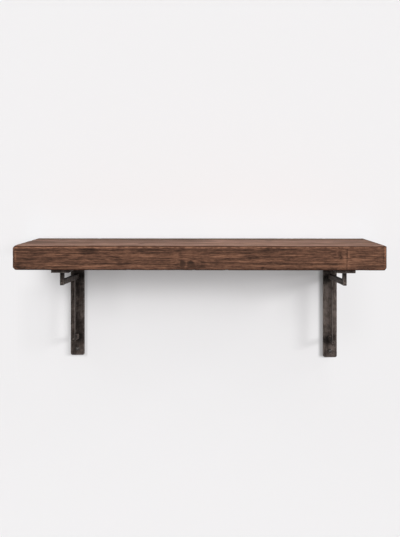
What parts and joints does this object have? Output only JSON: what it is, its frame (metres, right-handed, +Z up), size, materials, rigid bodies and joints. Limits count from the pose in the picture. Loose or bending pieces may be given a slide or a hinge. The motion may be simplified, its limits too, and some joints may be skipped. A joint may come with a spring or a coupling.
{
  "type": "bracket wall shelf",
  "caption": "Thick stained wood board on forged iron brackets with angular braces, screwed flat to a wall.",
  "frame": {"origin": "middle of the board's back face, on the wall", "axes": "+X to the right along the board, +Y into the wall, +Z up"},
  "size_m": [0.914, 0.297, 0.3317],
  "materials": {
    "board_wood": "dark stain, worn and waxed",
    "forged_iron": "hammered, dark patina",
    "screw_steel": "blackened"
  },
  "bodies": {
    "root": {"plank": "board_wood", "left_top_plate": "forged_iron", "left_wall_plate": "forged_iron", "left_front_post": "forged_iron", "left_arm": "forged_iron", "left_upright": "forged_iron", "left_lower_return": "forged_iron", "left_wall_screws": "screw_steel", "left_shelf_screws": "screw_steel", "right_top_plate": "forged_iron", "right_wall_plate": "forged_iron", "right_front_post": "forged_iron", "right_arm": "forged_iron", "right_upright": "forged_iron", "right_lower_return": "forged_iron", "right_wall_screws": "screw_steel", "right_shelf_screws": "screw_steel"}
  },
  "joints": []
}
